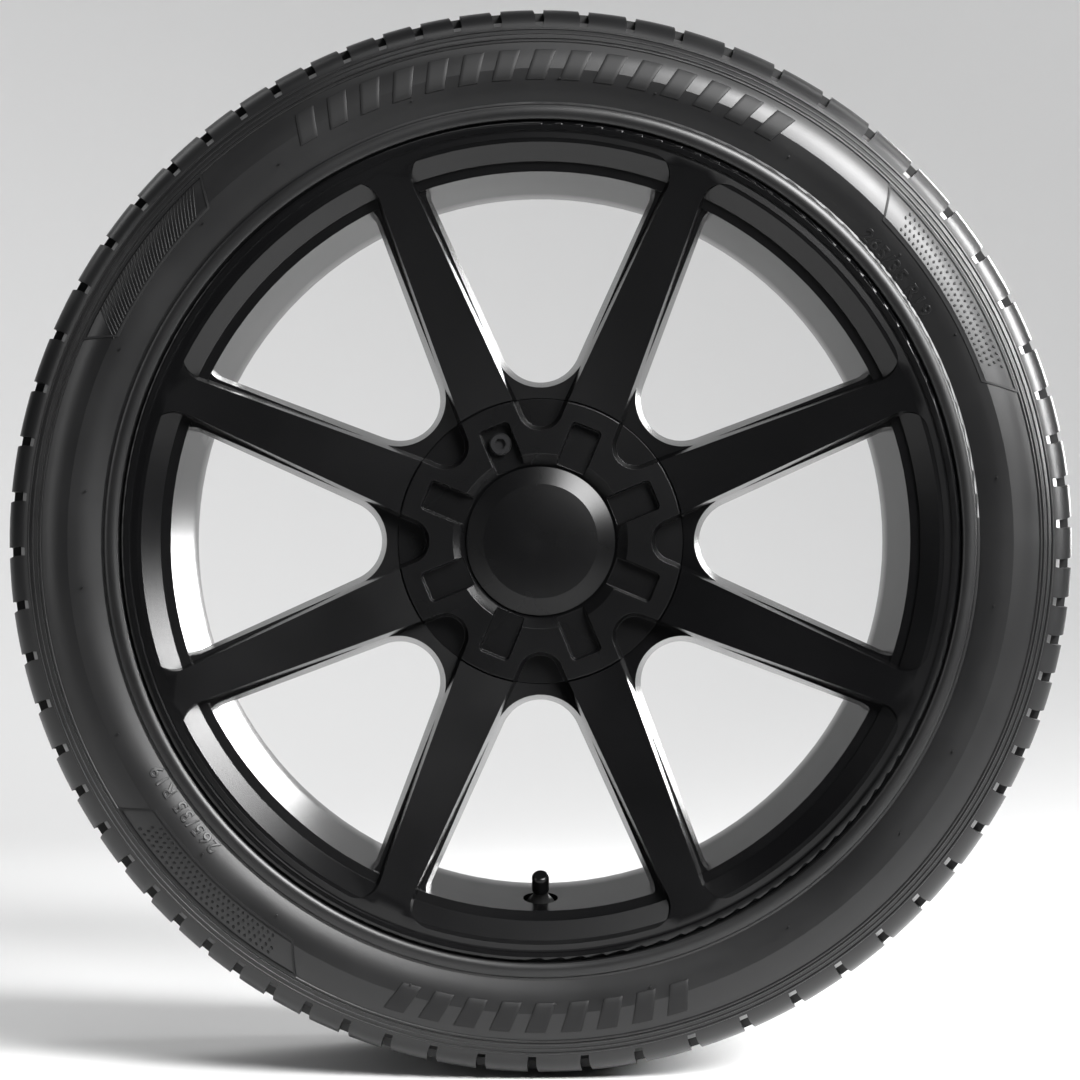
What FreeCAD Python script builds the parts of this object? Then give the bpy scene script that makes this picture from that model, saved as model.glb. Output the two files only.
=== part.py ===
# Road wheel: a low profile tyre on an eight spoke cast alloy wheel, with a hub cover,
# a centre cap, one lock screw and a snap in rubber valve.
# Frame: origin at the wheel centre, spin axis along Y, show face towards -Y, +Z up.
# The valve stands at the bottom of the wheel. All sizes are millimetres and degrees.
import FreeCAD
import Part
import Sketcher
import math
import os
import re

V = FreeCAD.Vector

doc = FreeCAD.newDocument("road_wheel")
sheet = doc.addObject("Spreadsheet::Sheet", "dims")

SIZES = {
    # tyre
    "tyre_diameter": 668.0,
    "section_width": 271.0,
    "crown_width": 200.0,
    "crown_drop": 3.4,
    "crown_thickness": 13.0,
    "sidewall_thickness": 8.0,
    "groove_width": 10.0,
    "groove_depth": 7.5,
    "groove_inner": 26.0,
    "groove_outer": 66.0,
    "slot_count": 70,
    "slot_depth": 6.0,
    "slot_swing": 3.6,
    "bead_gap": 0.2,
    # rim
    "rim_diameter": 482.6,
    "rim_width": 241.3,
    "flange_height": 17.5,
    "flange_width": 13.5,
    "flange_curl": 9.5,
    "lip_width": 12.8,
    "well_depth": 16.8,
    "barrel_wall": 5.2,
    # spokes and hub
    "spoke_count": 8,
    "spoke_dish": 27.0,
    "step_depth": 14.0,
    "step_draft": 10.0,
    "face_half_hub": 12.5,
    "face_half_rim": 10.2,
    "web_half": 13.7,
    "web_draft": 7.0,
    "window_start": 91.0,
    "window_corner": 14.0,
    "step_corner": 15.0,
    "scallop_start": 64.0,
    "mount_offset": 40.0,
    "pad_radius": 74.0,
    "hub_bore_radius": 33.3,
    "lug_circle": 112.0,
    "lug_count": 5,
    "lug_hole_radius": 7.5,
    "lug_pocket_radius": 13.0,
    # hub cover, centre cap and lock screw
    "cover_radius": 89.0,
    "cover_depth": 18.0,
    "cover_gap": 0.5,
    "cup_radius": 54.6,
    "cup_depth": 8.0,
    "pocket_width": 20.0,
    "pocket_depth": 7.0,
    "pocket_end": 77.4,
    "cap_radius": 46.3,
    "cap_rise": 6.0,
    "cap_hole_radius": 34.0,
    "cap_face_radius": 35.6,
    "spigot_radius": 39.5,
    "screw_circle": 65.5,
    "screw_head_radius": 7.0,
    "screw_radius": 3.9,
    # valve
    "valve_wall": 4.0,
    "valve_hole_radius": 5.8,
    "valve_bulb_radius": 9.3,
    "valve_reach": 32.0,
    "valve_cap_radius": 5.4,
    "valve_thread_radius": 3.8,
}

for row, (name, value) in enumerate(SIZES.items(), start=1):
    sheet.set("A%d" % row, name)
    sheet.set("B%d" % row, str(value))
    sheet.setAlias("B%d" % row, name)
doc.recompute()

# Sizes that follow from the cells, as expressions used in more than one place.
DERIVED = {
    "tyre_r": "(tyre_diameter / 2)",
    "half_section": "(section_width / 2)",
    "rim_r": "(rim_diameter / 2)",
    "flange_r": "(rim_diameter / 2 + flange_height)",
    "half_rim": "(rim_width / 2)",
    "side_h": "(tyre_diameter / 2 - rim_diameter / 2 - flange_height)",
    "well_r": "(rim_diameter / 2 - well_depth)",
    "front_y": "(-rim_width / 2 - flange_width)",
    "lip_r": "(rim_diameter / 2 + flange_height - lip_width)",
    "cover_y": "(-rim_width / 2 - flange_width + 1 + spoke_dish)",
    "hub_y": "(-rim_width / 2 - flange_width + 1 + spoke_dish + cover_depth)",
}


def ex(text):
    """Turn short size names into sheet references."""
    for name, full in DERIVED.items():
        text = re.sub(r"\b%s\b" % name, full, text)
    for name in SIZES:
        text = re.sub(r"(?<![\w.])%s\b" % name, "dims." + name, text)
    return text


def num(text):
    return float(sheet.evalExpression(ex(text)))


def new_body(label):
    body = doc.addObject("PartDesign::Body", label)
    body.Label = label
    return body


def origin_item(body, role):
    return [f for f in body.Origin.OriginFeatures if f.Role == role][0]


def new_sketch(body, label, role, offset=None):
    sketch = body.newObject("Sketcher::SketchObject", label)
    sketch.AttachmentSupport = [(origin_item(body, role), "")]
    sketch.MapMode = "FlatFace"
    if offset:
        sketch.setExpression("AttachmentOffset.Base.z", ex(offset))
    return sketch


def outline(sketch, points, bulges=None):
    """Closed outline of lines and arcs with every corner pinned by expressions.

    A bulge is the rise of an arc as a share of its chord, positive to the left.
    """
    bulges = bulges or {}
    first = sketch.GeometryCount
    count = len(points)
    spots = [V(num(a), num(b), 0) for a, b in points]
    ends = []
    shapes = []
    for i in range(count):
        p = spots[i]
        q = spots[(i + 1) % count]
        rise = bulges.get(i, 0)
        if rise:
            left = V(-(q.y - p.y), q.x - p.x, 0)
            middle = (p + q) * 0.5 + left * rise
            arc = Part.ArcOfCircle(q, middle, p) if rise > 0 else Part.ArcOfCircle(p, middle, q)
            shapes.append(arc)
            ends.append((2, 1) if rise > 0 else (1, 2))
        else:
            shapes.append(Part.LineSegment(p, q))
            ends.append((1, 2))
    sketch.addGeometry(shapes, False)
    rules = []
    pins = []
    for i in range(count):
        j = (i + 1) % count
        here = first + i
        rules.append(Sketcher.Constraint("Coincident", here, ends[i][1], first + j, ends[j][0]))
    for i in range(count):
        here = first + i
        for kind, text, value in (("DistanceX", points[i][0], spots[i].x),
                                  ("DistanceY", points[i][1], spots[i].y)):
            pins.append((len(rules), text))
            rules.append(Sketcher.Constraint(kind, -1, 1, here, ends[i][0], value))
        if i in bulges:
            (a, b) = points[i]
            (c, d) = points[(i + 1) % count]
            k = abs(bulges[i])
            text = "sqrt(((%s) - (%s))^2 + ((%s) - (%s))^2) * %.6f" % (a, c, b, d, 1 / (8 * k) + k / 2)
            pins.append((len(rules), text))
            rules.append(Sketcher.Constraint("Radius", here, num(text)))
    base = sketch.ConstraintCount
    sketch.addConstraint(rules)
    for index, text in pins:
        sketch.setExpression("Constraints[%d]" % (base + index), ex(text))


def turned(body, label, sketch):
    """Full turn of a sketch about the spin axis."""
    feature = body.newObject("PartDesign::Revolution", label)
    feature.Profile = sketch
    feature.ReferenceAxis = (sketch, ["V_Axis"])
    feature.Angle = 360
    body.Tip = feature
    return feature


def pocketed(body, label, sketch, depth, taper=None):
    feature = body.newObject("PartDesign::Pocket", label)
    feature.Profile = sketch
    feature.Type = "Length"
    feature.setExpression("Length", ex(depth))
    if taper:
        feature.setExpression("TaperAngle", ex(taper))
    body.Tip = feature
    return feature


def around(body, label, feature, count):
    pattern = body.newObject("PartDesign::PolarPattern", label)
    pattern.Originals = [feature]
    pattern.Axis = (origin_item(body, "Y_Axis"), [""])
    pattern.Angle = 360
    pattern.setExpression("Occurrences", ex(count))
    body.Tip = pattern
    return pattern


def mirrored_half(points, bulges):
    """Close a half section, given for the rear side, with its mirror image."""
    back = [(r, "-(%s)" % y) for r, y in reversed(points)]
    count = len(points)
    both = dict(bulges)
    for i, rise in bulges.items():
        both[2 * count - 2 - i] = rise
    return points + back, both


# Tyre carcass, drawn as a half section from the tread edge down the sidewall,
# round the bead and back up the inside to the crown.
tyre_body = new_body("tyre_carcass")
tyre_half = [
    ("tyre_r - crown_drop", "crown_width / 2"),
    ("flange_r + 0.765 * side_h", "half_section - 11"),
    ("flange_r + 0.665 * side_h", "half_section - 6.4"),
    ("flange_r + 0.43 * side_h", "half_section"),
    ("flange_r + 0.16 * side_h", "half_section - 4"),
    ("flange_r + 0.10 * side_h", "half_section - 1.6"),
    ("flange_r + 2.6", "half_section - 1.8"),
    ("flange_r + bead_gap", "half_rim + flange_curl"),
    ("flange_r - flange_curl", "half_rim - bead_gap"),
    ("rim_r + 3 + bead_gap", "half_rim - bead_gap"),
    ("rim_r + bead_gap", "half_rim - 3"),
    ("rim_r - 1.4 + bead_gap", "half_rim - 17"),
    ("rim_r + 5", "half_rim - 18.5"),
    ("flange_r + 0.06 * side_h", "half_section - 2.6 * sidewall_thickness"),
    ("flange_r + 0.43 * side_h", "half_section - sidewall_thickness"),
    ("flange_r + 0.62 * side_h", "half_section - 1.7 * sidewall_thickness"),
    ("tyre_r - crown_thickness - 4.5", "crown_width / 2 + 4"),
    ("tyre_r - crown_thickness - 0.6", "crown_width / 3"),
]
tyre_arcs = {0: 0.17, 1: 0.03, 2: 0.06, 3: 0.05, 4: -0.12, 5: 0.16, 7: -0.2071,
             12: -0.08, 13: -0.06, 14: -0.06, 15: -0.16, 16: -0.03}
tyre_arcs = {i: -rise for i, rise in tyre_arcs.items()}
tyre_points, tyre_rises = mirrored_half(tyre_half, tyre_arcs)
tyre_rises[2 * len(tyre_half) - 1] = -0.017
tyre_sketch = new_sketch(tyre_body, "tyre_section", "XY_Plane")
outline(tyre_sketch, tyre_points, tyre_rises)
turned(tyre_body, "tyre_turn", tyre_sketch)


# Main grooves run round the crown; the pair is mirrored about the centre plane.
groove_sketch = new_sketch(tyre_body, "groove_sections", "XY_Plane")
for side in ("", "-"):
    for place in ("groove_inner", "groove_outer"):
        outline(groove_sketch, [
            ("tyre_r + 5", side + "(%s - 0.7 * groove_width)" % place),
            ("tyre_r - groove_depth", side + "(%s - 0.36 * groove_width)" % place),
            ("tyre_r - groove_depth", side + "(%s + 0.36 * groove_width)" % place),
            ("tyre_r + 5", side + "(%s + 0.7 * groove_width)" % place),
        ])
grooves = tyre_body.newObject("PartDesign::Groove", "main_grooves")
grooves.Profile = groove_sketch
grooves.ReferenceAxis = (groove_sketch, ["V_Axis"])
grooves.Angle = 360
tyre_body.Tip = grooves

# Shoulder slots: a curved blade seen from the front, kept to a shallow band that
# follows the shoulder, then set round both shoulders at an uneven pitch.
blade_body = new_body("slot_blade")
blade_sketch = new_sketch(blade_body, "slot_blade_outline", "XZ_Plane")
outline(blade_sketch, [
    ("-6.5", "tyre_r + 4"),
    ("0.8", "flange_r + 0.78 * side_h"),
    ("5.6", "flange_r + 0.78 * side_h"),
    ("3.4", "tyre_r + 4"),
], {0: 0.14, 2: -0.10})
blade = blade_body.newObject("PartDesign::Pad", "slot_blade_pad")
blade.Profile = blade_sketch
blade.Type = "Length"
blade.setExpression("Length", ex("section_width + 20"))
blade.Midplane = True
band_body = new_body("slot_band")
band_sketch = new_sketch(band_body, "slot_band_section", "XY_Plane")
for side in ("", "-"):
    outline(band_sketch, [
        ("tyre_r - crown_drop - slot_depth", side + "(crown_width / 2 - 18)"),
        ("tyre_r - crown_drop - slot_depth - 1", side + "(crown_width / 2 + 4)"),
        ("flange_r + 0.80 * side_h", side + "(half_section - 17)"),
        ("flange_r + 0.80 * side_h", side + "(half_section + 5)"),
        ("tyre_r + 8", side + "(half_section + 5)"),
        ("tyre_r + 8", side + "(crown_width / 2 - 18)"),
    ])
band = turned(band_body, "slot_band_turn", band_sketch)
slot_tool = doc.addObject("Part::Common", "slot_tool")
slot_tool.Base = blade_body
slot_tool.Tool = band_body
doc.recompute()

slots = doc.addObject("Part::Feature", "slot_ring")
count = int(sheet.slot_count)
copies = []
for k in range(count):
    even = 360.0 * k / count
    turn = even + sheet.slot_swing * math.sin(math.radians(3 * even - 150))
    copy = slot_tool.Shape.copy()
    copy.rotate(V(0, 0, 0), V(0, 1, 0), 90 - turn)
    copies.extend(copy.Solids)
slots.Shape = Part.makeCompound(copies)
tyre = doc.addObject("Part::Cut", "tyre")
tyre.Label = "tyre"
tyre.Base = tyre_body
tyre.Tool = slots

# Rim barrel: lip, flange curl, bead seat, hump and well on the tyre side,
# then the inside wall from the rear flange to the stepped bands behind the lip.
barrel_body = new_body("rim_barrel")
barrel_sketch = new_sketch(barrel_body, "rim_section", "XY_Plane")
outline(barrel_sketch, [
    ("lip_r", "front_y + 1.8"),
    ("flange_r - 0.46 * lip_width", "front_y + 1.5"),
    ("flange_r - 0.40 * lip_width", "front_y + 0.2"),
    ("flange_r - 2.5", "front_y"),
    ("flange_r", "front_y + 2.5"),
    ("flange_r", "-half_rim - flange_curl"),
    ("flange_r - flange_curl", "-half_rim"),
    ("rim_r + 2", "-half_rim"),
    ("rim_r", "-half_rim + 2"),
    ("rim_r - 1.6", "-half_rim + 18.5"),
    ("rim_r - 0.6", "-half_rim + 22"),
    ("rim_r - 0.6", "-half_rim + 25"),
    ("well_r", "-half_rim + 45"),
    ("well_r", "-half_rim + 87"),
    ("rim_r - 2.5", "half_rim - 45"),
    ("rim_r - 0.6", "half_rim - 25"),
    ("rim_r - 0.6", "half_rim - 22"),
    ("rim_r - 1.6", "half_rim - 18.5"),
    ("rim_r", "half_rim - 2"),
    ("rim_r + 2", "half_rim"),
    ("flange_r - flange_curl", "half_rim"),
    ("flange_r", "half_rim + flange_curl"),
    ("flange_r", "half_rim + flange_width - 2.5"),
    ("flange_r - 2.5", "half_rim + flange_width - 0.5"),
    ("flange_r - 5.5", "half_rim + flange_width - 1"),
    ("rim_r + 2", "half_rim + 5.5"),
    ("rim_r - barrel_wall - 1", "half_rim - 6"),
    ("rim_r - barrel_wall - 2.5", "half_rim - 45"),
    ("well_r - barrel_wall", "-half_rim + 89"),
    ("well_r - barrel_wall", "-half_rim + 46.5"),
    ("rim_r - 12.3", "-half_rim + 2"),
    ("rim_r - 6.3", "-half_rim + 1"),
    ("rim_r - 6.3", "-half_rim - 1.5"),
], {3: -0.2071, 5: -0.2071, 20: -0.2071, 24: 0.12})
turned(barrel_body, "rim_turn", barrel_sketch)


def face_line(radius, drop):
    """Height of the dished spoke face at a radius, with a drop behind it."""
    return ("cover_y + (front_y + 1 - cover_y) * ((%s) - cover_radius) / (lip_r - cover_radius) + %s"
            % (radius, drop))


def window_sketch(body, label, start, half_hub, half_rim, reach, corner):
    """Window between two spokes: a round bottom, two straight sides and an outer arc."""
    sketch = new_sketch(body, label, "XZ_Plane", "-front_y + 1")
    lean = math.pi / num("spoke_count")
    s0 = num(start)
    w0 = num(half_hub)
    w1 = num(half_rim)
    outer = num(reach)
    q = num(corner)
    along = V(math.cos(lean), math.sin(lean), 0)
    aside = V(math.sin(lean), -math.cos(lean), 0)
    p0 = along * (s0 + 15) + aside * w0
    p1 = along * (outer - q) + aside * w1
    slope = math.atan2(p1.y - p0.y, p1.x - p0.x)
    u0 = p0.x - p0.y / math.tan(slope)
    uc = (s0 - u0 * math.sin(slope)) / (1 - math.sin(slope))
    rho = uc - s0
    top = V(uc - rho * math.sin(slope), rho * math.cos(slope), 0)
    # corner centre lies q inside the side line and q inside the outer arc
    u = outer - q
    for step in range(30):
        v = (u - u0) * math.tan(slope) - q / math.cos(slope)
        u = math.sqrt(max((outer - q) ** 2 - v * v, 1.0))
    corner_end = V(u - q * math.sin(slope), v + q * math.cos(slope), 0)
    phi = math.atan2(v, u)

    def low(p):
        return V(p.x, -p.y, 0)

    axis = V(0, 0, 1)
    arcs = Part.ArcOfCircle
    circle = Part.Circle
    sketch.addGeometry([
        arcs(circle(V(uc, 0, 0), axis, rho), math.pi / 2 + slope, 3 * math.pi / 2 - slope),
        Part.LineSegment(top, corner_end),
        arcs(circle(V(u, v, 0), axis, q), phi, math.pi / 2 + slope),
        arcs(circle(V(0, 0, 0), axis, outer), -phi, phi),
        arcs(circle(V(u, -v, 0), axis, q), 3 * math.pi / 2 - slope, 2 * math.pi - phi),
        Part.LineSegment(low(top), low(corner_end)),
    ], False)
    sketch.addGeometry([
        Part.LineSegment(V(0, 0, 0), V(outer * math.cos(lean), outer * math.sin(lean), 0)),
        Part.Point(V(s0, 0, 0)),
    ], True)
    C = Sketcher.Constraint
    rules = [
        C("Tangent", 0, 1, 1, 1), C("Tangent", 1, 2, 2, 2), C("Tangent", 2, 1, 3, 2),
        C("Tangent", 3, 1, 4, 2), C("Tangent", 4, 1, 5, 2), C("Tangent", 5, 1, 0, 2),
        C("PointOnObject", 0, 3, -1), C("Coincident", 3, 3, -1, 1),
        C("Coincident", 6, 1, -1, 1), C("PointOnObject", 7, 1, -1), C("PointOnObject", 7, 1, 0),
        C("Equal", 2, 4), C("Equal", 1, 5),
        C("Angle", -1, 1, 6, 1, lean), C("Distance", 6, outer),
        C("Distance", 1, 1, 6, w0), C("Distance", 1, 2, 6, w1),
        C("DistanceX", -1, 1, 7, 1, s0), C("Radius", 3, outer), C("Radius", 2, q),
    ]
    sketch.addConstraint(rules)
    texts = ["180 deg / spoke_count", reach, half_hub, half_rim, start, reach, corner]
    for offset, text in enumerate(texts):
        sketch.setExpression("Constraints[%d]" % (13 + offset), ex(text))
    return sketch


# Spoke webs and hub: the rear layer of the casting with the through windows,
# the lug holes and the blind hole of the lock screw.
web_body = new_body("spoke_webs")
web_sketch = new_sketch(web_body, "web_section", "XY_Plane")
outline(web_sketch, [
    ("hub_bore_radius", "-mount_offset - 2"),
    ("hub_bore_radius + 2", "-mount_offset"),
    ("pad_radius", "-mount_offset"),
    ("pad_radius + 6", "-mount_offset - 9"),
    ("window_start + 13", "-mount_offset - 18"),
    ("rim_r - 14", "-half_rim + 24"),
    ("rim_r - 8", "-half_rim + 12"),
    ("rim_r - 8", face_line("rim_r - 8", "step_depth")),
    ("cover_radius + cover_gap", face_line("cover_radius + cover_gap", "step_depth")),
    ("cover_radius + cover_gap", "hub_y"),
    ("spigot_radius + cover_gap", "hub_y"),
    ("spigot_radius + cover_gap", "hub_y + 16"),
    ("hub_bore_radius", "hub_y + 16"),
])
turned(web_body, "web_turn", web_sketch)
through = window_sketch(web_body, "through_window", "window_start", "web_half", "web_half",
                        "rim_r - 4", "window_corner")
through_cut = pocketed(web_body, "through_cut", through, "-front_y - mount_offset - 6", "-web_draft")
around(web_body, "through_cuts", through_cut, "spoke_count")


def round_cut(body, label, x, z, height, radius, depth, taper=None):
    """Round pocket sunk towards the rear from a plane square to the spin axis."""
    sketch = new_sketch(body, label + "_sketch", "XZ_Plane", "-(%s)" % height)
    sketch.addGeometry(Part.Circle(V(num(x), num(z), 0), V(0, 0, 1), num(radius)), False)
    sketch.addConstraint([
        Sketcher.Constraint("DistanceX", -1, 1, 0, 3, num(x)),
        Sketcher.Constraint("DistanceY", -1, 1, 0, 3, num(z)),
        Sketcher.Constraint("Radius", 0, num(radius)),
    ])
    for index, text in enumerate((x, z, radius)):
        sketch.setExpression("Constraints[%d]" % index, ex(text))
    return pocketed(body, label, sketch, depth, taper)


screw_angle = "(900 deg / spoke_count)"
lug_angle = "(900 deg / spoke_count + 180 deg / lug_count)"
lug_x = "lug_circle / 2 * cos(%s)" % lug_angle
lug_z = "lug_circle / 2 * sin(%s)" % lug_angle
lug_floor = "-mount_offset - 26"
lug_cuts = [
    round_cut(web_body, "lug_hole", lug_x, lug_z, "hub_y - 5", "lug_hole_radius", "rim_width"),
    round_cut(web_body, "lug_pocket", lug_x, lug_z, "hub_y - 5", "lug_pocket_radius",
              lug_floor + " - hub_y + 5"),
    round_cut(web_body, "lug_seat", lug_x, lug_z, lug_floor + " - 1", "lug_pocket_radius",
              "1 + (lug_pocket_radius - lug_hole_radius) / tan(30 deg)", "-30"),
]
lug_ring = web_body.newObject("PartDesign::PolarPattern", "lug_ring")
lug_ring.Originals = lug_cuts
lug_ring.Axis = (origin_item(web_body, "Y_Axis"), [""])
lug_ring.Angle = 360
lug_ring.setExpression("Occurrences", ex("lug_count"))
web_body.Tip = lug_ring
screw_x = "screw_circle * cos(%s)" % screw_angle
screw_z = "screw_circle * sin(%s)" % screw_angle
round_cut(web_body, "screw_hole", screw_x, screw_z, "hub_y - 5", "screw_radius + 0.1", "22")

# Spoke faces: the narrower front layer, cut by the larger stepped window.
face_body = new_body("spoke_faces")
face_sketch = new_sketch(face_body, "face_section", "XY_Plane")
outline(face_sketch, [
    ("cover_radius + cover_gap", face_line("cover_radius + cover_gap", "step_depth + 2")),
    ("cover_radius + cover_gap", "cover_y"),
    ("lip_r", "front_y + 1"),
    ("lip_r + 6", "front_y + 1.5"),
    ("lip_r + 6", "front_y + 6"),
    ("rim_r - 8", face_line("rim_r - 8", "step_depth + 2")),
])
turned(face_body, "face_turn", face_sketch)
step = window_sketch(face_body, "step_window", "scallop_start", "face_half_hub", "face_half_rim",
                     "lip_r + 3", "step_corner")
step_cut = pocketed(face_body, "step_cut", step, "spoke_dish + step_depth + 10", "-step_draft")
around(face_body, "step_cuts", step_cut, "spoke_count")

casting = doc.addObject("Part::MultiFuse", "casting")
casting.Shapes = [barrel_body, web_body, face_body]

# Valve seat in the slope behind the front bead: a round hole and a spot face.
valve_lean = "atan((well_depth - 0.6) / 20)"
valve_r = "(rim_r - well_depth / 2 - 0.3)"
valve_y = "(-half_rim + 35)"


def on_valve_axis(thing, along, turn):
    """Stand a thing on the valve axis, a distance out from the tyre side of the wall."""
    thing.Placement = FreeCAD.Placement(V(0, 0, 0), FreeCAD.Rotation(V(1, 0, 0), 10))
    thing.setExpression("Placement.Base.y", ex("%s - (%s) * sin(%s)" % (valve_y, along, valve_lean)))
    thing.setExpression("Placement.Base.z", ex("-%s + (%s) * cos(%s)" % (valve_r, along, valve_lean)))
    thing.setExpression("Placement.Rotation.Angle", ex("%s + %s" % (valve_lean, turn)))


valve_hole = doc.addObject("Part::Cylinder", "valve_hole")
valve_hole.setExpression("Radius", ex("valve_hole_radius"))
valve_hole.Height = 40
on_valve_axis(valve_hole, "-15", "0 deg")
spot_face = doc.addObject("Part::Cylinder", "spot_face")
spot_face.setExpression("Radius", ex("valve_bulb_radius + 1.6"))
spot_face.Height = 40
on_valve_axis(spot_face, "valve_wall", "0 deg")
valve_seat = doc.addObject("Part::Fuse", "valve_seat")
valve_seat.Base = valve_hole
valve_seat.Tool = spot_face
wheel = doc.addObject("Part::Cut", "alloy_wheel")
wheel.Label = "alloy_wheel"
wheel.Base = casting
wheel.Tool = valve_seat
doc.recompute()

# Hub cover: a thick moulded disc with a cup for the centre cap, a spigot behind it,
# a pocket in line with each spoke and a scallop in line with each window.
cup_y = "(cover_y + cup_depth)"
cover = new_body("hub_cover")
cover_sketch = new_sketch(cover, "cover_section", "XY_Plane")
outline(cover_sketch, [
    ("cap_hole_radius", cup_y),
    ("cap_radius + 0.5", cup_y),
    ("cup_radius", "cover_y"),
    ("cover_radius - 1", "cover_y"),
    ("cover_radius", "cover_y + 1"),
    ("cover_radius", "hub_y"),
    ("spigot_radius", "hub_y"),
    ("spigot_radius", "hub_y + 12"),
    ("spigot_radius - 3", "hub_y + 12"),
    ("spigot_radius - 3", "hub_y - 1"),
    ("cap_hole_radius", "hub_y - 1"),
])
turned(cover, "cover_turn", cover_sketch)
scallop = window_sketch(cover, "scallop_window", "scallop_start", "face_half_hub", "face_half_rim",
                        "lip_r + 3", "step_corner")
scallop_cut = pocketed(cover, "scallop_cut", scallop, "spoke_dish + step_depth + 2", "-step_draft")
around(cover, "scallop_cuts", scallop_cut, "spoke_count")
pocket_sketch = new_sketch(cover, "cover_pocket", "XZ_Plane", "-cover_y + 1")
spoke_angle = "(180 deg / spoke_count)"


def off_spoke(along, aside):
    """Point beside the first spoke centre line, in the plane of the wheel face."""
    return ("(%s) * cos(%s) - (%s) * sin(%s)" % (along, spoke_angle, aside, spoke_angle),
            "(%s) * sin(%s) + (%s) * cos(%s)" % (along, spoke_angle, aside, spoke_angle))


outline(pocket_sketch, [
    off_spoke("cap_radius + 1", "-pocket_width / 2"),
    off_spoke("pocket_end - 3", "-pocket_width / 2"),
    off_spoke("pocket_end", "-pocket_width / 2 + 3"),
    off_spoke("pocket_end", "pocket_width / 2 - 3"),
    off_spoke("pocket_end - 3", "pocket_width / 2"),
    off_spoke("cap_radius + 1", "pocket_width / 2"),
], {1: -0.2071, 3: -0.2071})
pocket_cut = pocketed(cover, "pocket_cut", pocket_sketch, "pocket_depth + 1", "-8")
around(cover, "pocket_cuts", pocket_cut, "spoke_count")
round_cut(cover, "cover_screw_hole", screw_x, screw_z, "cover_y", "screw_radius + 0.4", "cover_depth + 5")

# Centre cap: a low domed disc with a hollow spigot pressed through the cover.
cap = new_body("centre_cap")
cap_sketch = new_sketch(cap, "cap_section", "XY_Plane")
outline(cap_sketch, [
    ("0", cup_y + " - cap_rise - 1.5"),
    ("0", cup_y + " - cap_rise + 2"),
    ("cap_hole_radius - 3.3", cup_y + " - cap_rise + 2"),
    ("cap_hole_radius - 3.3", cup_y + " + 9"),
    ("cap_hole_radius - 0.3", cup_y + " + 9"),
    ("cap_hole_radius - 0.3", cup_y),
    ("cap_radius", cup_y),
    ("cap_radius", cup_y + " - 1.8"),
    ("cap_face_radius", cup_y + " - cap_rise"),
], {8: 0.02})
turned(cap, "cap_turn", cap_sketch)

# Lock screw: socket head on the pocket floor, shank into the blind hub hole.
screw = new_body("cover_screw")
screw_sketch = new_sketch(screw, "screw_section", "XY_Plane")
outline(screw_sketch, [
    ("0", "cover_y + pocket_depth - 5"),
    ("0", "hub_y + 15"),
    ("screw_radius - 1", "hub_y + 15"),
    ("screw_radius", "hub_y + 14"),
    ("screw_radius", "cover_y + pocket_depth"),
    ("screw_head_radius", "cover_y + pocket_depth"),
    ("screw_head_radius", "cover_y + pocket_depth - 4"),
    ("screw_head_radius - 1", "cover_y + pocket_depth - 5"),
])
turned(screw, "screw_turn", screw_sketch)
socket_sketch = new_sketch(screw, "socket_outline", "XZ_Plane", "-(cover_y + pocket_depth - 6)")
outline(socket_sketch, [
    ("0.52 * screw_head_radius * cos(%d deg)" % angle, "0.52 * screw_head_radius * sin(%d deg)" % angle)
    for angle in range(0, 360, 60)
])
pocketed(screw, "socket", socket_sketch, "4")
screw.setExpression("Placement.Base.x", ex(screw_x))
screw.setExpression("Placement.Base.z", ex(screw_z))

# Snap in valve. Each piece is turned about its own axis, with zero at the tyre side
# of the rim wall, and stood on the valve axis.


def valve_piece(label, points, bulges=None):
    body = new_body(label)
    sketch = new_sketch(body, label + "_section", "XY_Plane")
    outline(sketch, points, bulges)
    turned(body, label + "_turn", sketch)
    on_valve_axis(body, "0", "90 deg")
    return body


valve_body = valve_piece("valve_body", [
    ("2.7", "-6"),
    ("valve_bulb_radius - 2", "-6"),
    ("valve_bulb_radius + 0.3", "-4"),
    ("valve_bulb_radius + 0.3", "-0.3"),
    ("valve_hole_radius - 0.1", "-0.3"),
    ("valve_hole_radius - 0.1", "valve_wall + 0.3"),
    ("valve_bulb_radius", "valve_wall + 0.3"),
    ("valve_bulb_radius", "valve_wall + 1.5"),
    ("0.7 * valve_bulb_radius", "valve_wall + 6"),
    ("valve_thread_radius + 0.9", "valve_reach - 13"),
    ("2.7", "valve_reach - 13"),
], {7: -0.12, 8: 0.08})
valve_tube = valve_piece("valve_tube", [
    ("1.5", "-5"),
    ("2.6", "-5"),
    ("2.6", "valve_reach - 12.8"),
    ("valve_thread_radius", "valve_reach - 12.8"),
    ("valve_thread_radius", "valve_reach - 3.2"),
    ("valve_thread_radius - 0.6", "valve_reach - 2.6"),
    ("2.5", "valve_reach - 2.6"),
    ("2.5", "valve_reach - 11.5"),
    ("1.5", "valve_reach - 11.5"),
])
valve_core = valve_piece("valve_core", [
    ("0.9", "valve_reach - 11.5"),
    ("2.4", "valve_reach - 11.5"),
    ("2.4", "valve_reach - 4"),
    ("0.9", "valve_reach - 4"),
])
valve_pin = valve_piece("valve_pin", [
    ("0", "valve_reach - 13.2"),
    ("1.2", "valve_reach - 13.2"),
    ("1.2", "valve_reach - 11.8"),
    ("0.6", "valve_reach - 11.8"),
    ("0.6", "valve_reach - 2.9"),
    ("0", "valve_reach - 2.9"),
])
cap_seal = valve_piece("cap_seal", [
    ("1.4", "valve_reach - 2.6"),
    ("valve_thread_radius", "valve_reach - 2.6"),
    ("valve_thread_radius", "valve_reach - 2"),
    ("1.4", "valve_reach - 2"),
])
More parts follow.
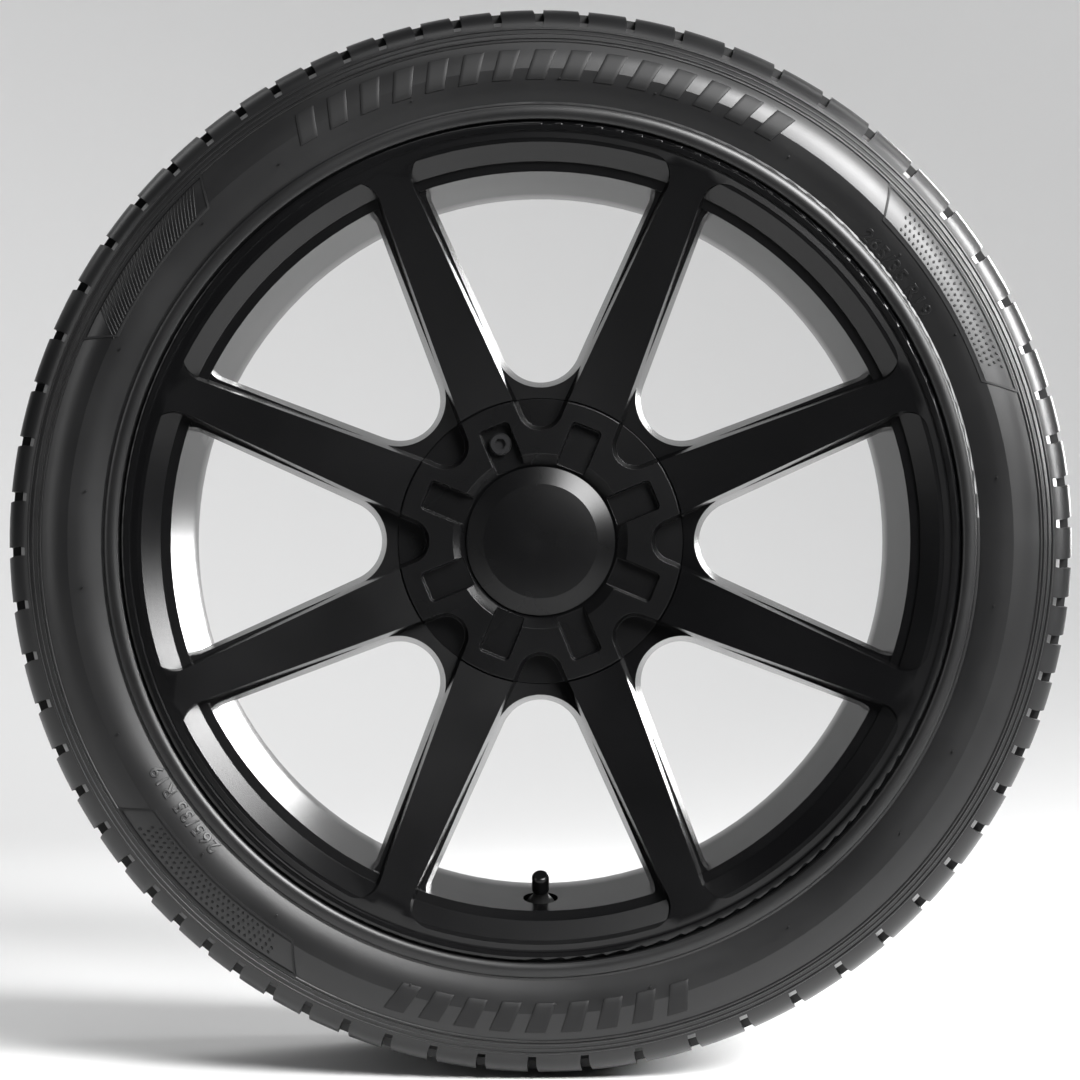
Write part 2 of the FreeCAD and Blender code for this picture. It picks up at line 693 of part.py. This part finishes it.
valve_cap = valve_piece("valve_cap", [
    ("0", "valve_reach"),
    ("0", "valve_reach - 2"),
    ("valve_thread_radius + 0.3", "valve_reach - 2"),
    ("valve_thread_radius + 0.3", "valve_reach - 12.4"),
    ("valve_cap_radius", "valve_reach - 12.4"),
    ("valve_cap_radius", "valve_reach - 2.5"),
    ("valve_cap_radius - 1.6", "valve_reach"),
], {5: -0.15})

doc.recompute()

# Every object must be up to date and sound before its file is written.
for thing in doc.Objects:
    if "Invalid" in thing.State or "Error" in thing.State:
        raise RuntimeError("not rebuilt: " + thing.Name)
os.makedirs("parts", exist_ok=True)
nodes = [tyre, wheel, cover, cap, screw, valve_body, valve_tube, valve_core, valve_pin, cap_seal, valve_cap]
for thing in nodes:
    shape = thing.Shape
    if shape.isNull() or not shape.isValid() or len(shape.Solids) != 1:
        raise RuntimeError("not one sound solid: " + thing.Label)
    shape.exportStep("parts/" + thing.Label + ".step")
    print(thing.Label, "faces", len(shape.Faces), "volume cm3", round(shape.Volume / 1000, 2))
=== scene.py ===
# %% [markdown]
# # A road wheel in the studio
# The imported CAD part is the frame. This script gives each piece its finish, adds the
# moulded relief of the tyre sidewall, rounds the edges of the casting and the cover, and
# sets the camera on the spin axis, as in the photo.

# %% Load the frame
import math
import bpy
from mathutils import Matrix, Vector


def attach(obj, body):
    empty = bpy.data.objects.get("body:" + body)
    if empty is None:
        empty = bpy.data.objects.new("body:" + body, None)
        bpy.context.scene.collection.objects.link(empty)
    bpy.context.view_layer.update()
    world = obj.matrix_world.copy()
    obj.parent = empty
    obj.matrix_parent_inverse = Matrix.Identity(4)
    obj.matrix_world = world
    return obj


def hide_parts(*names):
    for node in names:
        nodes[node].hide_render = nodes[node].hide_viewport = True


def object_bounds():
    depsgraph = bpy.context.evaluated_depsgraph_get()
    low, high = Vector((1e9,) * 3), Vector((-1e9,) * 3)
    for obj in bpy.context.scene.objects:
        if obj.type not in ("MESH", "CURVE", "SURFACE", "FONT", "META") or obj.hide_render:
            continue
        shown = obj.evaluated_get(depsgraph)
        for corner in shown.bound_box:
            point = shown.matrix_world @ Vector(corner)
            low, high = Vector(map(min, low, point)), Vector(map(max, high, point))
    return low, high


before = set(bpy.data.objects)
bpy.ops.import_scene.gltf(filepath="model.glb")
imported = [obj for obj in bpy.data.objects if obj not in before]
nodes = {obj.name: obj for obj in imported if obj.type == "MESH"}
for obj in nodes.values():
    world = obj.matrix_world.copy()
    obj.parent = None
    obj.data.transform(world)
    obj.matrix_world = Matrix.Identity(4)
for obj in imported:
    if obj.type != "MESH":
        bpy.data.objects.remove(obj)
start_bounds = [list(corner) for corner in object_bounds()]
print("nodes", sorted(nodes), "bounds", start_bounds)

# %% [markdown]
# ## Finishes
# One shared group makes a fine grain: a mask for colour and roughness, and a normal.
# Each finish sets its own constants on its shader.

# %% Grain group
grain = bpy.data.node_groups.new("fine_grain", "ShaderNodeTree")
for label, kind, value in (("Scale", "NodeSocketFloat", 900.0), ("Height", "NodeSocketFloat", 0.2)):
    socket = grain.interface.new_socket(label, in_out="INPUT", socket_type=kind)
    socket.default_value = value
grain.interface.new_socket("Mask", in_out="OUTPUT", socket_type="NodeSocketFloat")
grain.interface.new_socket("Normal", in_out="OUTPUT", socket_type="NodeSocketVector")
g_in = grain.nodes.new("NodeGroupInput")
g_out = grain.nodes.new("NodeGroupOutput")
g_co = grain.nodes.new("ShaderNodeTexCoord")
g_noise = grain.nodes.new("ShaderNodeTexNoise")
g_noise.inputs["Detail"].default_value = 4.0
g_bump = grain.nodes.new("ShaderNodeBump")
g_bump.inputs["Distance"].default_value = 0.0002
g_wide = grain.nodes.new("ShaderNodeTexNoise")
g_wide.inputs["Scale"].default_value = 14.0
g_wide.inputs["Detail"].default_value = 5.0
print("grain group with", len(grain.nodes), "nodes")
grain.links.new(g_co.outputs["Object"], g_noise.inputs["Vector"])
grain.links.new(g_co.outputs["Object"], g_wide.inputs["Vector"])
grain.links.new(g_in.outputs["Scale"], g_noise.inputs["Scale"])
grain.links.new(g_in.outputs["Height"], g_bump.inputs["Strength"])
grain.links.new(g_noise.outputs["Fac"], g_bump.inputs["Height"])
grain.links.new(g_wide.outputs["Fac"], g_out.inputs["Mask"])
grain.links.new(g_bump.outputs["Normal"], g_out.inputs["Normal"])

# %% [markdown]
# Each finish mixes a darker and a lighter tone of its colour by the mask, and lets the
# roughness wander between two values.

# %% Finishes of the pieces


def finish(name, dark, light, rough_low, rough_high, scale, height, metallic=0.0, specular=0.5):
    mat = bpy.data.materials.new(name)
    mat.use_nodes = True
    tree = mat.node_tree
    shader = tree.nodes["Principled BSDF"]
    group = tree.nodes.new("ShaderNodeGroup")
    group.node_tree = grain
    group.inputs["Scale"].default_value = scale
    group.inputs["Height"].default_value = height
    mix = tree.nodes.new("ShaderNodeMix")
    mix.data_type = "RGBA"
    mix.inputs["A"].default_value = (*dark, 1.0)
    mix.inputs["B"].default_value = (*light, 1.0)
    rough = tree.nodes.new("ShaderNodeMapRange")
    rough.inputs["From Min"].default_value = 0.3
    rough.inputs["From Max"].default_value = 0.7
    rough.inputs["To Min"].default_value = rough_low
    rough.inputs["To Max"].default_value = rough_high
    tree.links.new(group.outputs["Mask"], mix.inputs["Factor"])
    tree.links.new(group.outputs["Mask"], rough.inputs["Value"])
    tree.links.new(group.outputs["Normal"], shader.inputs["Normal"])
    tree.links.new(mix.outputs["Result"], shader.inputs["Base Color"])
    tree.links.new(rough.outputs["Result"], shader.inputs["Roughness"])
    shader.inputs["Metallic"].default_value = metallic
    shader.inputs["Specular IOR Level"].default_value = specular
    return mat


rubber = finish("tyre_rubber", (0.0032, 0.0032, 0.0034), (0.005, 0.005, 0.0052),
                0.31, 0.39, 1400, 0.1, 0.0, 0.4)
relief = finish("relief_rubber", (0.003, 0.003, 0.0032), (0.004, 0.004, 0.0042),
                0.5, 0.58, 1400, 0.2, 0.0, 0.25)
paint = finish("satin_black", (0.0013, 0.0013, 0.0014), (0.0018, 0.0018, 0.002),
               0.2, 0.25, 1800, 0.02, 0.0, 0.3)
plastic = finish("cover_black", (0.0017, 0.0017, 0.0018), (0.0022, 0.0022, 0.0024),
                 0.25, 0.31, 1600, 0.03, 0.0, 0.22)
soft = finish("valve_rubber", (0.007, 0.007, 0.007), (0.010, 0.010, 0.010), 0.45, 0.55, 1500, 0.2)
steel = finish("black_screw", (0.02, 0.02, 0.021), (0.03, 0.03, 0.031), 0.3, 0.4, 2200, 0.1, 0.8)
brass = finish("brass", (0.55, 0.40, 0.16), (0.62, 0.46, 0.20), 0.25, 0.35, 2000, 0.05, 1.0)
looks = {"tyre": rubber, "alloy_wheel": paint, "hub_cover": plastic, "centre_cap": plastic,
         "cover_screw": steel, "valve_body": soft, "valve_tube": brass, "valve_core": brass,
         "valve_pin": brass, "cap_seal": soft, "valve_cap": plastic}
for name, mat in looks.items():
    for holder in nodes[name].material_slots:
        holder.material = mat
print("finishes set on", len(looks), "nodes")

# %% [markdown]
# ## Moulded relief on the tyre sidewall
# Each relief piece is modelled flat, with x along the tread, y outwards and z as its
# height, and is then laid on the sidewall: x becomes an angle about the spin axis, and
# a ray cast on the tyre gives the surface under each point.

# %% Tools that lay a flat piece on the sidewall
tyre = nodes["tyre"]


def surface(radius, angle, side):
    """Y of the sidewall at a radius and an angle in degrees; side -1 is the show face."""
    x = radius * math.cos(math.radians(angle))
    z = radius * math.sin(math.radians(angle))
    hit, spot, normal, index = tyre.ray_cast(Vector((x, side * 0.3, z)), Vector((0, -side, 0)))
    return spot.y if hit else side * 0.13


def lay_on_sidewall(piece, angle, radius, side=-1):
    """Wrap a flat piece round the spin axis and drop it on the sidewall."""
    for vert in piece.data.vertices:
        turn = angle - side * -1 * math.degrees(vert.co.x / radius)
        reach = radius + vert.co.y
        level = surface(reach, turn, side) + side * (vert.co.z - 0.0003)
        vert.co = (reach * math.cos(math.radians(turn)), level, reach * math.sin(math.radians(turn)))
    bpy.ops.object.select_all(action="DESELECT")
    piece.select_set(True)
    bpy.context.view_layer.objects.active = piece
    bpy.ops.object.mode_set(mode="EDIT")
    bpy.ops.mesh.select_all(action="SELECT")
    bpy.ops.mesh.normals_make_consistent(inside=False)
    bpy.ops.object.mode_set(mode="OBJECT")
    bpy.ops.object.shade_smooth_by_angle(angle=math.radians(35))


def add_to_wheel(piece, name, mat):
    piece.name = name
    piece.data.materials.clear()
    piece.data.materials.append(mat)
    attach(piece, "wheel")


def raised(height):
    """Give the open flat faces of the active piece a height."""
    bpy.ops.object.mode_set(mode="EDIT")
    bpy.ops.mesh.select_all(action="SELECT")
    bpy.ops.mesh.extrude_region_move(TRANSFORM_OT_translate={"value": (0, 0, height)})
    bpy.ops.object.mode_set(mode="OBJECT")


def joined(pieces):
    bpy.ops.object.select_all(action="DESELECT")
    for item in pieces:
        item.select_set(True)
    bpy.context.view_layer.objects.active = pieces[0]
    if len(pieces) > 1:
        bpy.ops.object.join()
    return bpy.context.object


print("sidewall at 300 mm:", round(surface(0.300, 0, -1), 4))

# %% [markdown]
# ### Rings and rim ribs
# Fine rings run round the tyre between the shoulder slots and the sidewall, and a rounded rib
# that guards the rim stands next to the flange.

# %% Rings and rim ribs
RING_SIZES = ((0.3165, 0.0008), (0.3135, 0.0007), (0.3105, 0.0007), (0.3085, 0.0009))
RING_ANGLE = 33.0
RIB_RADIUS = 0.2645
RIB_HALF_WIDTH = 0.0048
RIB_FLATNESS = 0.52
RIB_LEVEL = 0.1325

rings = []
for side in (-1, 1):
    for radius, thick in RING_SIZES:
        level = surface(radius, RING_ANGLE, side)
        bpy.ops.mesh.primitive_torus_add(location=(0, level, 0), rotation=(math.radians(90), 0, 0),
                                         major_radius=radius, minor_radius=thick,
                                         major_segments=256, minor_segments=8)
        bpy.ops.object.transform_apply(location=True, rotation=True, scale=True)
        bpy.ops.object.shade_smooth()
        rings.append(bpy.context.object)
add_to_wheel(joined(rings), "sidewall_rings", rubber)
ribs = []
for level in (-RIB_LEVEL, RIB_LEVEL):
    bpy.ops.mesh.primitive_torus_add(location=(0, 0, 0), major_radius=RIB_RADIUS,
                                     minor_radius=RIB_HALF_WIDTH,
                                     major_segments=384, minor_segments=24)
    rib = bpy.context.object
    rib.scale = (1, 1, RIB_FLATNESS)
    rib.rotation_euler = (math.radians(90), 0, 0)
    rib.location = (0, level, 0)
    bpy.ops.object.transform_apply(location=True, rotation=True, scale=True)
    bpy.ops.object.shade_smooth()
    ribs.append(rib)
add_to_wheel(joined(ribs), "rim_ribs", rubber)
print("rings", len(rings), "rim ribs", len(ribs))

# %% [markdown]
# ### Panels
# Two trapezoid panels carry staggered dots inside a raised frame, and a third is hatched
# with slanting bars. The frame is a grid with its border raised.

# %% Tools for the panels
PANEL_BAND = 0.2985
PANEL_HEIGHT = 0.0205
PANEL_LEAN = 10.0
FRAME_WIDTH = 0.0016
FRAME_RISE = 0.0011
DOT_PITCH = 0.0041
HATCH_ANGLE = 144.5


def slanted(piece, lean):
    """Lean a flat piece: the outer edge runs longer than the inner one."""
    for vert in piece.data.vertices:
        vert.co.x *= 1.0 + lean * vert.co.y


def panel_frame(length, height=PANEL_HEIGHT, width=FRAME_WIDTH):
    """A flat slanted frame: a grid with its inner part inset and taken out."""
    bpy.ops.mesh.primitive_grid_add(x_subdivisions=40, y_subdivisions=6, size=1.0)
    piece = bpy.context.object
    piece.scale = (length, height, 1)
    bpy.ops.object.transform_apply(location=True, rotation=True, scale=True)
    bpy.ops.object.mode_set(mode="EDIT")
    bpy.ops.mesh.select_all(action="SELECT")
    bpy.ops.mesh.inset(thickness=width, use_even_offset=True)
    bpy.ops.mesh.delete(type="FACE")
    bpy.ops.object.mode_set(mode="OBJECT")
    raised(FRAME_RISE)
    slanted(piece, PANEL_LEAN)
    return piece


def dot_field(columns, rows, pitch):
    """Staggered rows of small cones."""
    dots = []
    for row in range(rows):
        for column in range(columns):
            x = (column - (columns - 1) / 2 + 0.5 * (row % 2)) * pitch
            y = (row - (rows - 1) / 2) * pitch * 0.87
            bpy.ops.mesh.primitive_cone_add(vertices=10, radius1=0.0011, radius2=0.0006, depth=0.0012,
                                            location=(x, y, 0.0005))
            bpy.ops.object.transform_apply(location=True, rotation=True, scale=True)
            dots.append(bpy.context.object)
    return joined(dots)


def bar_row(count, pitch, width, height, lean, rise):
    """A row of leaning bars with rounded edges, fine enough to follow the sidewall."""
    bars = []
    for k in range(count):
        x = (k - (count - 1) / 2) * pitch
        bpy.ops.mesh.primitive_cube_add(size=1.0, location=(x, 0, rise / 2 - 0.0002))
        bar = bpy.context.object
        bar.scale = (width, height, rise)
        bpy.ops.object.transform_apply(location=True, rotation=True, scale=True)
        bpy.ops.object.mode_set(mode="EDIT")
        bpy.ops.mesh.select_all(action="SELECT")
        bpy.ops.mesh.bevel(offset=min(width, rise) * 0.3, segments=2, affect="EDGES")
        bpy.ops.mesh.subdivide(number_cuts=5)
        bpy.ops.object.mode_set(mode="OBJECT")
        for vert in bar.data.vertices:
            vert.co.x += lean * vert.co.y
        bars.append(bar)
    return joined(bars)


print("panel band at", PANEL_BAND)

# %% [markdown]
# The dotted panels lie at the upper right and the lower left, the hatched one at the upper left.

# %% Dotted and hatched panels
panels = []
for angle in (31.5, 226.5):
    border = panel_frame(0.135)
    lay_on_sidewall(border, angle, PANEL_BAND)
    field = dot_field(26, 4, DOT_PITCH)
    slanted(field, PANEL_LEAN)
    lay_on_sidewall(field, angle, PANEL_BAND)
    panels += [border, field]
border = panel_frame(0.112)
lay_on_sidewall(border, HATCH_ANGLE, PANEL_BAND)
hatch = bar_row(34, 0.0028, 0.0013, 0.0165, 0.8, 0.0012)
lay_on_sidewall(hatch, HATCH_ANGLE, PANEL_BAND)
panels += [border, hatch]
add_to_wheel(joined(panels), "sidewall_panels", relief)
print("panels", len(bpy.context.object.data.polygons), "faces")

# %% [markdown]
# ### Plain raised marks
# A row of plain slanting blocks stands at the top and at the bottom, and the only figures
# are the size of the tyre.

# %% Blocks and size figures
BLOCK_BAND = 0.2935
FIGURE_BAND = 0.2715
FIGURE_SIZE = 0.0118

marks = []
codes = []
for angle, count in ((90.0, 15), (270.0, 9)):
    blocks = bar_row(count, 0.0215, 0.0125, 0.0190, 0.35, 0.0014)
    lay_on_sidewall(blocks, angle, BLOCK_BAND)
    marks.append(blocks)
for angle in (37.0, 217.0):
    bpy.ops.object.text_add(location=(0, 0, 0))
    figures = bpy.context.object
    figures.data.body = "265/35 R19"
    figures.data.size = FIGURE_SIZE
    figures.data.space_character = 1.15
    figures.data.align_x = "CENTER"
    figures.data.extrude = 0.0011
    figures.data.bevel_depth = 0.00025
    figures.data.resolution_u = 4
    bpy.ops.object.convert(target="MESH")
    figures = bpy.context.object
    lay_on_sidewall(figures, angle, FIGURE_BAND)
    codes.append(figures)
add_to_wheel(joined(marks), "sidewall_marks", relief)
add_to_wheel(joined(codes), "size_figures", rubber)
print("rows of blocks", len(marks), "size figures", len(codes))

# %% [markdown]
# ### Vent nubs
# Moulding leaves thin nubs of rubber at almost even steps round the sidewall.

# %% Vent nubs
NUB_COUNT = 22
NUB_BAND = 0.2835
NUB_RADIUS = 0.0006

nubs = []
for k in range(NUB_COUNT):
    angle = 8.0 + k * 360.0 / NUB_COUNT + 2.5 * math.sin(k * 2.1)
    radius = NUB_BAND + 0.002 * math.sin(k * 1.7)
    level = surface(radius, angle, -1)
    spot = (radius * math.cos(math.radians(angle)), level - 0.0007, radius * math.sin(math.radians(angle)))
    bpy.ops.mesh.primitive_cylinder_add(vertices=10, radius=NUB_RADIUS, depth=0.003, location=spot,
                                        rotation=(math.radians(90), 0, 0))
    bpy.ops.object.transform_apply(location=True, rotation=True, scale=True)
    nubs.append(bpy.context.object)
add_to_wheel(joined(nubs), "vent_nubs", rubber)
print("nubs", len(nubs))

# %% [markdown]
# ## Rounded casting edges
# A cast and painted wheel has no sharp corners. A copy of the CAD wheel and of the cover is
# merged and its edges are bevelled, so that they catch the light as thin lines. The thin lip
# is left as it is, and curved faces take their normals from the CAD piece.

# %% Tools that round a copy of a CAD piece
SHARP = math.radians(24)
LIP_START = 0.2312
BARREL_START = 0.19
BARREL_FRONT = -0.06


def off_axis(vert):
    return math.hypot(vert.co.x, vert.co.z)


def mark_edges(piece):
    """Weight the sharp edges inside the lip, and group the points that none of them touches."""
    bpy.ops.object.mode_set(mode="EDIT")
    bpy.ops.mesh.select_mode(type="EDGE")
    bpy.ops.mesh.select_all(action="DESELECT")
    bpy.ops.mesh.edges_select_sharp(sharpness=SHARP)
    bpy.ops.object.mode_set(mode="OBJECT")
    points = piece.data.vertices
    for edge in piece.data.edges:
        if min(off_axis(points[i]) for i in edge.vertices) > LIP_START:
            edge.select = False
    bpy.ops.object.mode_set(mode="EDIT")
    bpy.ops.transform.edge_bevelweight(value=1.0)
    bpy.ops.mesh.select_mode(type="VERT")
    bpy.ops.mesh.select_all(action="INVERT")
    bpy.ops.object.vertex_group_assign_new()
    bpy.ops.object.mode_set(mode="OBJECT")


def take_cad_normals(piece, source):
    """Give the grouped points and the rear barrel the normals of the CAD piece."""
    group = piece.vertex_groups[0]
    barrel = [vert.index for vert in piece.data.vertices
              if vert.co.y > BARREL_FRONT and off_axis(vert) > BARREL_START]
    group.add(barrel, 1.0, "REPLACE")
    exact = piece.modifiers.new("cad_normals", "DATA_TRANSFER")
    exact.object = source
    exact.use_loop_data = True
    exact.data_types_loops = {"CUSTOM_NORMAL"}
    exact.loop_mapping = "POLYINTERP_NEAREST"
    exact.vertex_group = group.name
    bpy.ops.object.modifier_apply(modifier="cad_normals")


print("edges over", round(math.degrees(SHARP)), "degrees are rounded")

# %% [markdown]
# The copy is merged into one skin first, because the CAD mesh has its own points on each face.

# %% Bevelled copies of the wheel and the cover


def rounded_copy(node, name, width, mat):
    source = nodes[node]
    piece = bpy.data.objects.new(name, source.data.copy())
    bpy.context.scene.collection.objects.link(piece)
    bpy.ops.object.select_all(action="DESELECT")
    piece.select_set(True)
    bpy.context.view_layer.objects.active = piece
    bpy.ops.object.mode_set(mode="EDIT")
    bpy.ops.mesh.select_all(action="SELECT")
    bpy.ops.mesh.remove_doubles(threshold=0.00002)
    bpy.ops.mesh.dissolve_limited(angle_limit=math.radians(0.1), delimit={"NORMAL"})
    bpy.ops.mesh.customdata_custom_splitnormals_clear()
    bpy.ops.object.mode_set(mode="OBJECT")
    mark_edges(piece)
    bpy.ops.object.shade_smooth_by_angle(angle=SHARP)
    bevel = piece.modifiers.new("edge_round", "BEVEL")
    bevel.width = width
    bevel.segments = 2
    bevel.limit_method = "WEIGHT"
    bevel.use_clamp_overlap = True
    bevel.harden_normals = True
    bpy.ops.object.modifier_apply(modifier="edge_round")
    take_cad_normals(piece, source)
    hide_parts(node)
    add_to_wheel(piece, name, mat)
    return piece


for node, name, width, mat, slot in (("alloy_wheel", "wheel_casting", 0.0006, paint, "wheel_paint"),
                                     ("hub_cover", "cover_moulding", 0.0003, plastic, "cover_plastic")):
    made = rounded_copy(node, name, width, mat)
    print(name, len(made.data.vertices), "points")

# %% [markdown]
# ## Stage
# A pale floor turns up into a backdrop: a plane, whose far edge is drawn up and whose fold is
# bevelled into a wide curve.

# %% Floor and backdrop
FLOOR_SIZE = 12.0
FLOOR_MIDDLE = -2.0
WALL_HEIGHT = 8.0
FOLD_CURVE = 2.2
far_edge = FLOOR_MIDDLE + FLOOR_SIZE / 2 - 0.1
floor_z = start_bounds[0][2]

bpy.ops.mesh.primitive_plane_add(size=FLOOR_SIZE, location=(0, FLOOR_MIDDLE, floor_z - 0.0005))
floor = bpy.context.object
floor.name = "studio_sweep"
bpy.ops.object.transform_apply(location=True, rotation=True, scale=True)
bpy.ops.object.mode_set(mode="EDIT")
bpy.ops.mesh.select_all(action="DESELECT")
bpy.ops.object.mode_set(mode="OBJECT")
for edge in floor.data.edges:
    edge.select = all(floor.data.vertices[i].co.y > far_edge for i in edge.vertices)
bpy.ops.object.mode_set(mode="EDIT")
bpy.ops.mesh.select_mode(type="EDGE")
bpy.ops.mesh.extrude_region_move(TRANSFORM_OT_translate={"value": (0, 0, WALL_HEIGHT)})
bpy.ops.object.mode_set(mode="OBJECT")
for edge in floor.data.edges:
    ends = [floor.data.vertices[i].co for i in edge.vertices]
    edge.select = all(end.y > far_edge and end.z < 0 for end in ends)
bpy.ops.object.mode_set(mode="EDIT")
bpy.ops.mesh.bevel(offset=FOLD_CURVE, segments=24, affect="EDGES")
bpy.ops.object.mode_set(mode="OBJECT")
bpy.ops.object.shade_smooth()
pale = bpy.data.materials.new("studio_pale")
pale.use_nodes = True
pale_shader = pale.node_tree.nodes["Principled BSDF"]
pale_shader.inputs["Base Color"].default_value = (0.80, 0.80, 0.80, 1)
pale_shader.inputs["Roughness"].default_value = 0.9
floor.data.materials.append(pale)
print("floor at", round(floor_z, 4))

# %% [markdown]
# ## Light
# The main soft box stands above right. One box behind is there for the barrel to mirror, a strip
# at the right draws the spoke edges, and two boxes light the backdrop.

# %% Soft boxes
world = bpy.context.scene.world or bpy.data.worlds.new("studio_world")
bpy.context.scene.world = world
world.use_nodes = True
sky = world.node_tree.nodes["Background"]
sky.inputs["Color"].default_value = (0.9, 0.93, 1.0, 1)
sky.inputs["Strength"].default_value = 0.03


def soft_box(name, place, aim, size, power, spread=180):
    bpy.ops.object.light_add(type="AREA", location=place)
    lamp = bpy.context.object
    lamp.name = name
    lamp.data.shape = "RECTANGLE"
    lamp.data.size = size[0]
    lamp.data.size_y = size[1]
    lamp.data.energy = power
    lamp.data.spread = math.radians(spread)
    direction = Vector(aim) - Vector(place)
    lamp.rotation_euler = direction.to_track_quat("-Z", "Y").to_euler()
    return lamp


soft_box("key_upper_right", (1.25, -2.1, 1.45), (0.05, 0, 0.1), (1.3, 1.3), 30, 60)
soft_box("barrel_glow", (1.5, 2.9, 0.62), (-0.1, 0, -0.05), (0.8, 1.3), 15, 70)
soft_box("edge_light", (1.5, -0.3, 0.75), (0, -0.1, 0), (0.25, 1.2), 7, 50)
soft_box("left_strip", (-2.0, -1.3, 0.6), (0, 0, 0), (0.35, 1.8), 10)
soft_box("top_box", (-0.2, -0.9, 2.3), (0, 0, 0), (1.6, 0.4), 8)
soft_box("backdrop_left", (-2.4, 1.6, 2.6), (-0.5, 4.0, 0.4), (2.0, 2.0), 36)
soft_box("backdrop_right", (2.4, 1.6, 2.6), (0.5, 4.0, 0.4), (2.0, 2.0), 52)
print("soft boxes", len(bpy.data.lights))

# %% [markdown]
# ## Camera
# A long lens looks along the spin axis, from the distance at which the tyre fills the frame.

# %% Camera
bpy.ops.object.camera_add(location=(0, -2.534, 0), rotation=(math.radians(90), 0, 0))
camera = bpy.context.object
camera.data.sensor_width = 36.0
camera.data.lens = 130.0
camera.data.shift_x = -0.0005
camera.data.shift_y = 0.001
bpy.context.scene.camera = camera
bpy.context.scene.view_settings.view_transform = "Standard"
print("camera at", tuple(camera.location), "lens", camera.data.lens)
